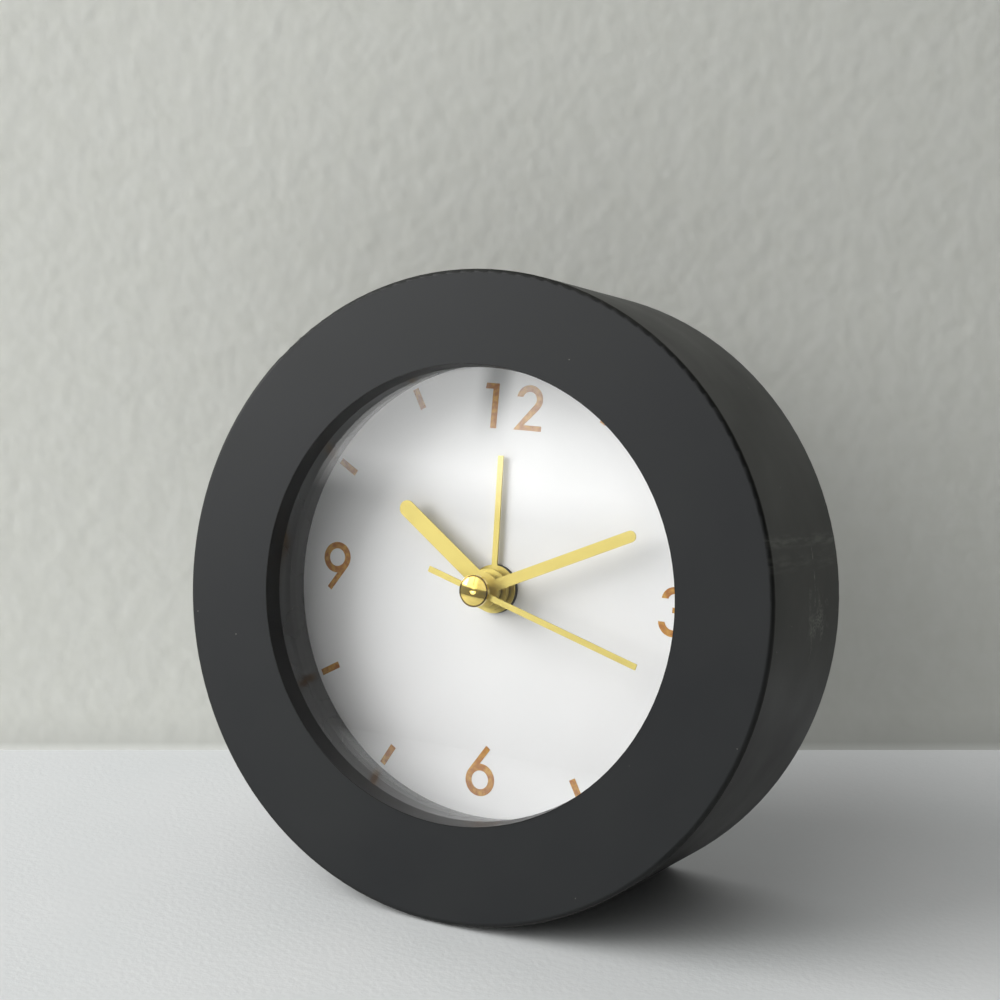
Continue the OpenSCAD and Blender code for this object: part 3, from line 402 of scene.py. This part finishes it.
def hand_finish(node):
    """Gold-toned aluminium, brushed along the blade and turned on the boss."""
    direction = reach(node)[0]
    across = INTO.cross(direction)
    f = Finish(node + "_gold", color(205, 187, 108), 0.44, 1.0)
    from_axis = f.radius()
    blade = f.noise(1, 2, f.place_in(direction, across, INTO, stretch=(2.5, 0.1, 1)))
    rings = f.add("ShaderNodeCombineXYZ", {0: f.times(from_axis, MM / 0.07)})
    turned = f.noise(1, 2, rings.outputs[0])
    on_blade = f.math("GREATER_THAN", from_axis, HANDS[node])
    on_boss = f.math("SUBTRACT", 1.0, on_blade)
    grain = f.math("ADD", f.times(blade, on_blade), f.times(turned, on_boss))
    f.tint(f.span(grain, 0.35, 0.65, 0, 0.5), color(215, 202, 122))
    f.rough(grain, 0.38, 0.52)
    f.bump(grain, 0.012, 0.8)
    return f.material


def cap_finish():
    """Polished gold dome, with painted shade as a dark ring at its rim."""
    f = Finish("cap_gold", color(240, 214, 118), 0.03, 1.0)
    f.tint(f.span(f.noise(2, 2), 0.35, 0.7), color(246, 222, 134))
    rim = reach("hand_cap")[1] / MM
    from_axis = f.radius()
    # Painted shade: a dark ring just inside the cap's rim
    ring = f.times(f.span(from_axis, rim - 0.4, rim - 0.2), f.span(from_axis, rim, rim - 0.04))
    f.tint(ring, color(96, 70, 34))
    f.rough(f.noise(0.3, 3), 0.015, 0.05)
    f.bump(f.noise(1.2, 2), 0.002, 0.3)
    return f.material


def moulded_finish(name, base, other, grain=0.35, low=0.4, high=0.6):
    """Moulded plastic with an eroded texture and a second tone in clouds."""
    f = Finish(name, base, high)
    f.tint(f.span(f.noise(11, 3), 0.35, 0.7), other)
    f.rough(f.noise(grain * 3, 3), low, high)
    f.bump(f.noise(grain, 3), 0.03, 0.5)
    return f.material


def gear_finish():
    """Unfilled natural plastic: waxy, with faint flow clouds."""
    f = Finish("gear_natural", color(226, 221, 204), 0.38,
               Subsurface_Weight=0.15, Subsurface_Scale=0.0008)
    f.tint(f.span(f.noise(5, 3), 0.35, 0.7), color(214, 207, 186))
    f.rough(f.noise(1.2, 3), 0.3, 0.46)
    f.bump(f.noise(0.4, 2), 0.01, 0.35)
    return f.material


def steel_finish():
    """Bright zinc plate with fine drawn lines and dull spots."""
    f = Finish("steel_zinc", color(206, 208, 210), 0.3, 1.0)
    lines = f.noise(1, 3, f.place_in(RIGHT, UP, INTO, stretch=(4, 0.1, 4)))
    f.tint(f.span(lines, 0.35, 0.7), color(184, 186, 190))
    f.tint(f.span(f.noise(1.6, 3), 0.55, 0.75, 0, 0.4), color(160, 158, 150))
    f.rough(lines, 0.22, 0.4)
    f.bump(lines, 0.008, 0.4)
    return f.material


def magnet_finish():
    """Dark sintered magnet."""
    f = Finish("magnet_sintered", color(74, 74, 78), 0.55, 0.6)
    f.tint(f.span(f.noise(0.3, 4), 0.4, 0.7), color(98, 98, 102))
    f.rough(f.noise(0.3, 3), 0.45, 0.65)
    f.bump(f.noise(0.15, 3), 0.02, 0.6)
    return f.material


def copper_finish():
    """Enamelled wire, wound side by side between dark flanges."""
    f = Finish("coil_copper", color(176, 92, 46), 0.26, 0.9, Coat_Weight=0.5, Coat_Roughness=0.1)
    low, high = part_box("coil_winding")
    turns = f.math("SINE", f.times(f.along(RIGHT), 2 * math.pi / WIRE_PITCH))
    f.tint(f.span(turns, -1, 1, 0, 0.5), color(120, 54, 24))
    f.bump(f.span(turns, -1, 1), 0.05, 0.7)
    from_left = f.along(RIGHT, low)
    from_right = f.along(-RIGHT, high)
    flange = f.math("LESS_THAN", f.math("MINIMUM", from_left, from_right), FLANGE)
    f.tint(flange, color(34, 34, 36))
    f.feed(f.shader.inputs["Metallic"], f.times(f.math("SUBTRACT", 1.0, flange), 0.9))
    f.rough(f.noise(0.8, 2), 0.22, 0.36)
    return f.material


def board_finish():
    """Green solder mask over traces, with a black blob of resin over the chip."""
    f = Finish("board_green", color(24, 92, 56), 0.3, Coat_Weight=0.4, Coat_Roughness=0.12)
    traces = f.add("ShaderNodeTexBrick", {"Vector": f.place_in(RIGHT, UP, INTO), "Scale": 420.0})
    f.tint(f.times(traces.outputs["Fac"], 0.6), color(52, 130, 78))
    pads = f.add("ShaderNodeTexVoronoi", {"Vector": f.place_in(RIGHT, UP, INTO), "Scale": 380.0})
    f.tint(f.math("LESS_THAN", pads.outputs["Distance"], 0.16), color(196, 190, 160))
    from_back = f.along(INTO, HUB + INTO * depth_range("circuit_board")[1])
    f.tint(f.math("GREATER_THAN", from_back, -CHIP_HEIGHT), color(26, 26, 28))
    f.rough(f.noise(2, 2), 0.26, 0.42)
    f.bump(traces.outputs["Fac"], 0.03, 0.5)
    return f.material


def battery_finish():
    """Printed film: dark body, a copper-toned band at the positive end, bare metal at both ends."""
    f = Finish("battery_film", color(40, 41, 44), 0.3, 0.5, Coat_Weight=0.5, Coat_Roughness=0.1)
    low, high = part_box("battery")
    from_end = f.along(-RIGHT, high)
    f.tint(f.span(from_end, *BAND_EDGE), color(186, 120, 66))
    f.tint(f.span(f.noise(6, 3), 0.4, 0.7, 0, 0.25), color(96, 96, 100))
    cap = f.math("LESS_THAN", from_end, CAP_LENGTH)
    foot = f.math("LESS_THAN", f.along(RIGHT, low), CAN_END)
    f.tint(f.math("MAXIMUM", cap, foot), color(190, 190, 192))
    f.rough(f.noise(3, 3), 0.22, 0.38)
    f.bump(f.noise(1.4, 2), 0.02, 0.25)
    return f.material


def print_finish():
    """Pale grey print, thin in places."""
    f = Finish("print_grey", color(188, 189, 186), 0.5)
    f.tint(f.span(f.noise(0.5, 3), 0.45, 0.7), color(150, 151, 149))
    f.rough(f.noise(0.8, 2), 0.42, 0.6)
    f.bump(f.noise(0.2, 2), 0.01, 0.3)
    return f.material


def rubber_finish():
    """Matt rubber with dust."""
    f = Finish("foot_rubber", color(40, 40, 40), 0.78)
    f.tint(f.span(f.noise(0.8, 4), 0.45, 0.75, 0, 0.5), color(74, 73, 70))
    f.rough(f.noise(1.5, 3), 0.7, 0.88)
    f.bump(f.noise(0.3, 3), 0.03, 0.6)
    return f.material


def wear(nodes, material):
    """Gives CAD nodes a material."""
    for node in nodes:
        slots = frame["nodes"][node].data.materials
        slots.clear()
        slots.append(material)


wear(["case_body"], case_finish())
wear(["lens"], lens_finish())
wear(["reveal_ring"], reveal_finish())
wear(["dial_plate"], dial_finish())
wear(["hand_cap"], cap_finish())
for hand in HANDS:
    wear([hand], hand_finish(hand))
    edge = frame["nodes"][hand].modifiers.new("edge", "BEVEL")
    edge.width = EDGE_ROUND * MM
    edge.segments = 2
    edge.angle_limit = math.radians(EDGE_ANGLE)
back_black = moulded_finish("back_moulded", color(56, 58, 58), color(64, 66, 66), 0.35)
wear(["back_cover", "battery_door"], back_black)
inner_black = moulded_finish("inner_moulded", color(32, 32, 33), color(42, 42, 43), 0.25, 0.32, 0.5)
wear(["dial_carrier", "movement_front_case", "movement_rear_case", "sounder"], inner_black)
grip_black = moulded_finish("grip_moulded", color(44, 45, 46), color(60, 60, 61), 0.5, 0.3, 0.44)
wear(["time_set_knob", "alarm_set_knob", "alarm_switch"], grip_black)
gears = ["movement_mid_plate", "second_wheel", "centre_wheel", "third_wheel", "fifth_wheel",
         "rotor_arbor", "minute_pipe", "minute_wheel", "hour_wheel", "alarm_wheel",
         "time_set_shaft", "alarm_set_shaft"]
wear(gears, gear_finish())
steels = ["carrier_screws", "cover_screws", "movement_screws", "stator", "coil_core",
          "positive_contact", "negative_contact", "alarm_contact", "quartz_crystal"]
wear(steels, steel_finish())
wear(["rotor_magnet"], magnet_finish())
wear(["coil_winding"], copper_finish())
wear(["circuit_board"], board_finish())
wear(["battery"], battery_finish())
wear(["front_foot", "rear_foot"], rubber_finish())


def arc(centre, radius, start, end):
    """Points of an arc, with its angles in degrees from 3 o'clock, anticlockwise."""
    turns = [math.radians(start + (end - start) * i / ARC_STEPS) for i in range(ARC_STEPS + 1)]
    return [(centre[0] + radius * math.cos(a), centre[1] + radius * math.sin(a)) for a in turns]


def rise(radius, height):
    """Angle in degrees at which a circle of this radius is this high over its centre."""
    return math.degrees(math.asin(height / radius))


def outlined(name, outlines):
    """A flat shape: the first outline is its edge, and any others are holes in it."""
    curve = bpy.data.curves.new(name, "CURVE")
    curve.dimensions = "2D"
    curve.fill_mode = "BOTH"
    for outline in outlines:
        spline = curve.splines.new("POLY")
        spline.points.add(len(outline) - 1)
        for point, (x, y) in zip(spline.points, outline):
            point.co = (x * MM, y * MM, 0, 1)
        spline.use_cyclic_u = True
    return curve


def lettered(name, text, x, y):
    """Plain capitals in the built-in font, centred on x, with their foot at y."""
    curve = bpy.data.curves.new(name, "FONT")
    curve.body = text
    curve.size = LETTER_SIZE * MM
    curve.align_x = "CENTER"
    curve.offset_x, curve.offset_y = x * MM, y * MM
    return curve


def press(name, curve, place, material):
    """Makes a thin plate of a flat shape, on the dial or on the back cover."""
    curve.extrude = FOIL_THICKNESS * MM / 2
    shape = bpy.data.objects.new(name, curve)
    bpy.context.scene.collection.objects.link(shape)
    bpy.context.view_layer.update()
    mesh = bpy.data.meshes.new_from_object(shape.evaluated_get(bpy.context.evaluated_depsgraph_get()))
    bpy.data.objects.remove(shape)
    mesh.transform(place)
    mesh.materials.clear()
    mesh.materials.append(material)
    plate = bpy.data.objects.new(name, mesh)
    bpy.context.scene.collection.objects.link(plate)
    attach(plate, "case")


def foil(name, outlines):
    """A foil mark on the dial."""
    press(name, outlined(name, outlines), DIAL_FRAME, FOIL)


def turn_arrow(node, start, end, head):
    """An arc below a knob as seen from behind, with an arrowhead at its end."""
    x, y, knob_radius = middle(node)
    centre = (-x, y)
    radius = knob_radius + ARROW_GAP
    points = arc(centre, radius + ARROW_LINE / 2, start, end)
    for away, degrees in ((ARROW_HEAD, end), (0, end + head), (-ARROW_HEAD, end)):
        turn = math.radians(degrees)
        out = radius + away * ARROW_LINE
        points.append((centre[0] + out * math.cos(turn), centre[1] + out * math.sin(turn)))
    return [points + arc(centre, radius - ARROW_LINE / 2, end, start)]


def one(right, foot, top, flag_left):
    """The figure 1: a stem with a level flag."""
    left = right - STROKE
    under = top - THIN_STROKE
    stem = [(right, foot), (right, top)]
    flag = [(flag_left + 0.2, top), (flag_left, under)]
    return [stem + flag + [(left, under), (left, foot)]]


def two(left, foot, right, top):
    """The figure 2: an open bowl, a straight slope and a foot."""
    radius = 0.475 * (right - left)
    inner = radius - STROKE
    centre = (right - radius, top - radius)
    cut = 0.4
    slope = -43
    turn = math.radians(slope)
    outer_end = (centre[0] + radius * math.cos(turn), centre[1] + radius * math.sin(turn))
    shelf = foot + 1.0
    down = (outer_end[1] - shelf) / math.cos(turn)
    heel = (outer_end[0] + down * math.sin(turn), shelf)
    points = arc(centre, radius, 180 - rise(radius, cut), slope)
    points += [heel, (right + 0.1, shelf), (right + 0.1, foot), (left, foot)]
    points += arc(centre, inner, slope, 180 - rise(inner, cut))
    return [points]


def three(left, foot, top):
    """The figure 3: two bowls and a short middle bar."""
    upper, lower = 2.55, 2.9
    upper_in, lower_in = upper - STROKE, lower - STROKE
    x = left + lower
    upper_y = top - upper
    lower_y = foot + lower
    gap = upper_y - lower_y
    below = (gap - (lower ** 2 - upper ** 2) / gap) / 2
    bar_top = (upper_y + lower_y) / 2 + 0.63
    bar_foot = bar_top - 1.0
    bar_left = x - 0.3
    cut = 0.3
    points = arc((x, upper_y), upper, 180 - rise(upper, cut), -rise(upper, below))
    points += arc((x, lower_y), lower, rise(lower, gap - below), -180 + rise(lower, cut))
    points += arc((x, lower_y), lower_in, -180 + rise(lower_in, cut), rise(lower_in, bar_foot - lower_y))
    points += [(bar_left, bar_foot), (bar_left, bar_top)]
    points += arc((x, upper_y), upper_in, rise(upper_in, bar_top - upper_y), 180 - rise(upper_in, cut))
    return [points]


def six(centre, turned=False):
    """The figure 6: a ring with a straight tail that leaves it as a tangent. Half a turn makes it the 9."""
    radius = 3.05
    tail_end = Vector((0.74, 6.6))
    spread = math.asin(radius / tail_end.length)
    heading = math.atan2(-tail_end.y, -tail_end.x) - spread
    away = Vector((math.cos(heading), math.sin(heading)))
    side = Vector((-away.y, away.x))
    touch = tail_end + away * math.sqrt(tail_end.length ** 2 - radius ** 2)
    corner = tail_end + side * THIN_STROKE
    near = -corner.dot(away) - math.sqrt(radius ** 2 - corner.dot(side) ** 2)
    inner = corner + away * near
    start = math.degrees(math.atan2(inner.y, inner.x))
    end = math.degrees(math.atan2(touch.y, touch.x))
    ring = arc((0, 0), radius, start, end - 360)
    sign = -1 if turned else 1
    outlines = [[tuple(corner)] + ring + [tuple(tail_end)], arc((0, 0), radius - STROKE, 0, 360)[:-1]]
    return [[(centre[0] + sign * x, centre[1] + sign * y) for x, y in outline] for outline in outlines]


def bar(hour):
    """An hour bar, along its own radius."""
    turn = math.radians(90 - 30 * hour)
    out = Vector((math.cos(turn), math.sin(turn)))
    side = Vector((-out.y, out.x)) * BAR_WIDTH / 2
    corners = [out * BAR_IN - side, out * BAR_OUT - side, out * BAR_OUT + side, out * BAR_IN + side]
    return [[tuple(corner) for corner in corners]]


FOIL = foil_finish()
foil("figure_12_one", one(-2.9, 30.6, 39.3, -5.85))
foil("figure_12_two", two(0.75, 30.7, 6.55, 39.45))
foil("figure_3", three(33.5, -4.45, 4.7))
foil("figure_6", six((0.2, -36.5)))
foil("figure_9", six((-35.8, 1.97), turned=True))
for hour in (1, 2, 4, 5, 7, 8, 10, 11):
    foil(f"bar_{hour}", bar(hour))

PRINT = print_finish()
switch_x, switch_y = middle("alarm_switch")[:2]
for text, shift in WORDS.items():
    name = "print_" + text.lower()
    words = lettered(name, text, shift - switch_x, switch_y + LETTER_RISE)
    press(name, words, BACK_FRAME, PRINT)
for name, turns in (("time", (-140, -44, 14)), ("alarm", (-40, -136, -14))):
    arrow = outlined("print_" + name, turn_arrow(name + "_set_knob", *turns))
    press("print_" + name, arrow, BACK_FRAME, PRINT)


def quad(name, corners, material):
    """A flat piece of the stage."""
    mesh = bpy.data.meshes.new(name)
    mesh.from_pydata(corners, [], [(0, 1, 2, 3)])
    mesh.materials.append(material)
    piece = bpy.data.objects.new(name, mesh)
    bpy.context.scene.collection.objects.link(piece)


def lamp(name, place, size, power, aim):
    """A soft oblong lamp that faces a point."""
    light = bpy.data.lights.new(name, "AREA")
    light.shape = "RECTANGLE"
    light.size, light.size_y = size
    light.energy = power
    holder = bpy.data.objects.new(name, light)
    holder.location = place
    holder.rotation_mode = "QUATERNION"
    holder.rotation_quaternion = (aim - place).to_track_quat("-Z", "Y")
    bpy.context.scene.collection.objects.link(holder)


def toward(turn, rise_by, distance):
    """A point that lies from the dial at a turn to the left of its front, at a rise, both in degrees."""
    turn, rise_by = math.radians(turn), math.radians(rise_by)
    flat = Vector((-math.sin(turn), -math.cos(turn), 0)) * math.cos(rise_by)
    return DIAL + (flat + UPWARD * math.sin(rise_by)) * distance


# Camera
camera_data = bpy.data.cameras.new("camera")
camera_data.lens = FOCAL_LENGTH
camera_data.sensor_width = SENSOR_WIDTH
camera_data.shift_y = FRAME_SHIFT
camera_data.clip_start, camera_data.clip_end = CLIP
camera = bpy.data.objects.new("camera", camera_data)
camera.location = FACE + CAMERA_FROM_FACE
camera.rotation_euler = (math.radians(90 - CAMERA_DIP), 0, math.radians(CAMERA_TURN))
bpy.context.scene.collection.objects.link(camera)
bpy.context.scene.camera = camera

# Table: it darkens far in front of the clock, so that its edge doesn't show in the lens
ahead = Vector((-math.sin(math.radians(CAMERA_TURN)), math.cos(math.radians(CAMERA_TURN)), 0))
beside = Vector((ahead.y, -ahead.x, 0))
wall_foot = camera.location + ahead * WALL_DISTANCE
wall_foot.z = 0

t = Finish("stage_table", color(*TABLE_COLOR), 0.6)
t.tint(t.span(t.noise(40, 3), 0.35, 0.7), color(219, 222, 222))
t.tint(t.span(t.along(FRONTWARD, ORIGIN), *TABLE_FADE), color(*TABLE_FAR_COLOR))
t.rough(t.noise(1.5, 3), 0.5, 0.7)
t.bump(t.noise(1.2, 3), 0.1, 0.6)
table = [(x * STAGE_REACH, y * STAGE_REACH, 0) for x, y in ((-1, -1), (1, -1), (1, 1), (-1, 1))]
quad("stage_table", table, t.material)

# Wall: it glows a little, has painted shade near its foot and a painted lighter band at the very foot, and
# can't be seen from behind
w = Finish("stage_wall", color(*WALL_COLOR), 0.8)
w.tint(w.span(w.noise(5, 2), 0.35, 0.7), color(203, 204, 197))
height = w.along(UPWARD, wall_foot)
# Painted shade: the wall darkens over the lowest few millimetres, where it meets the table
w.tint(w.span(height, 1, 9, 1, 0), color(187, 188, 182))
# Painted light: a lighter band at the very foot of the wall
w.tint(w.span(height, 0, 2, 1, 0), color(221, 222, 218))
w.bump(w.noise(4.6, 1), 0.42, 0.75)
path = w.add("ShaderNodeLightPath")
seen = w.math("MAXIMUM", path.outputs["Is Camera Ray"], path.outputs["Is Glossy Ray"])
seen = w.math("MAXIMUM", seen, path.outputs["Is Transmission Ray"])
front = w.math("SUBTRACT", 1.0, w.add("ShaderNodeNewGeometry").outputs["Backfacing"])
clear = w.add("ShaderNodeBsdfTransparent")
w.shader.inputs["Emission Color"].default_value = color(*WALL_COLOR)
fade = w.span(w.along(beside, wall_foot), *WALL_GLOW_FADE)
w.feed(w.shader.inputs["Emission Strength"], w.times(fade, WALL_GLOW))
mixed = w.add("ShaderNodeMixShader", {0: w.times(seen, front), 1: clear.outputs[0], 2: w.shader.outputs[0]})
w.feed(w.output.inputs["Surface"], mixed.outputs[0])
left, right = wall_foot - beside * STAGE_REACH, wall_foot + beside * STAGE_REACH
tall = UPWARD * STAGE_REACH
quad("stage_wall", [left, right, right + tall, left + tall], w.material)

# A broad window on the left
lamp("window", toward(WINDOW_TURN, WINDOW_RISE, WINDOW_DISTANCE), WINDOW_SIZE, WINDOW_POWER, DIAL)

# World: a pale room, dimmer towards the floor and to the right, with a soft light from behind the clock
# and two bright panes in front of it that metal and glass mirror
world = bpy.data.worlds.new("room")
world.use_nodes = True
bpy.context.scene.world = world
r = Nodes(world.node_tree, "Generated")
upward = r.along(UPWARD, ORIGIN)
room = r.times(r.span(r.along(RIGHT, ORIGIN), *ROOM_ACROSS), r.span(upward, *ROOM_UPWARD))
behind = r.times(r.span(r.along(BEHIND_WAY, ORIGIN), *BEHIND_RANGE), r.span(upward, *BEHIND_FOOT))

pane_way = (toward(PANE_TURN, PANE_RISE, 1.0) - DIAL).normalized()
pane_side = pane_way.cross(UPWARD).normalized()
depth = r.along(pane_way, ORIGIN)
across = r.math("DIVIDE", r.along(pane_side, ORIGIN), depth)
over = r.math("DIVIDE", r.along(pane_side.cross(pane_way), ORIGIN), depth)
outline = r.times(r.span(across, *PANE_RIGHT_EDGE), r.span(across, *PANE_LEFT_EDGE),
                  r.span(over, *PANE_FOOT), r.span(over, *PANE_TOP))
dim = r.math("MAXIMUM", r.span(across, *PANE_DIM_SIDE), r.span(over, *PANE_DIM_FOOT))
bar_shade = r.times(r.span(r.math("ABSOLUTE", across), *BAR_EDGE), r.span(over, *BAR_FOOT))
panes = r.times(outline, dim, r.span(over, *PANE_DIM_TOP), r.math("SUBTRACT", 1.0, bar_shade),
                r.span(r.noise(60, 1), *CLOUDS), r.math("GREATER_THAN", depth, 0.0), PANE_LEVEL)

background = world.node_tree.nodes["Background"]
r.feed(background.inputs["Strength"], r.math("ADD", r.math("ADD", room, behind), panes))
background.inputs["Color"].default_value = ROOM_COLOR

bpy.context.scene.view_settings.view_transform = "Standard"
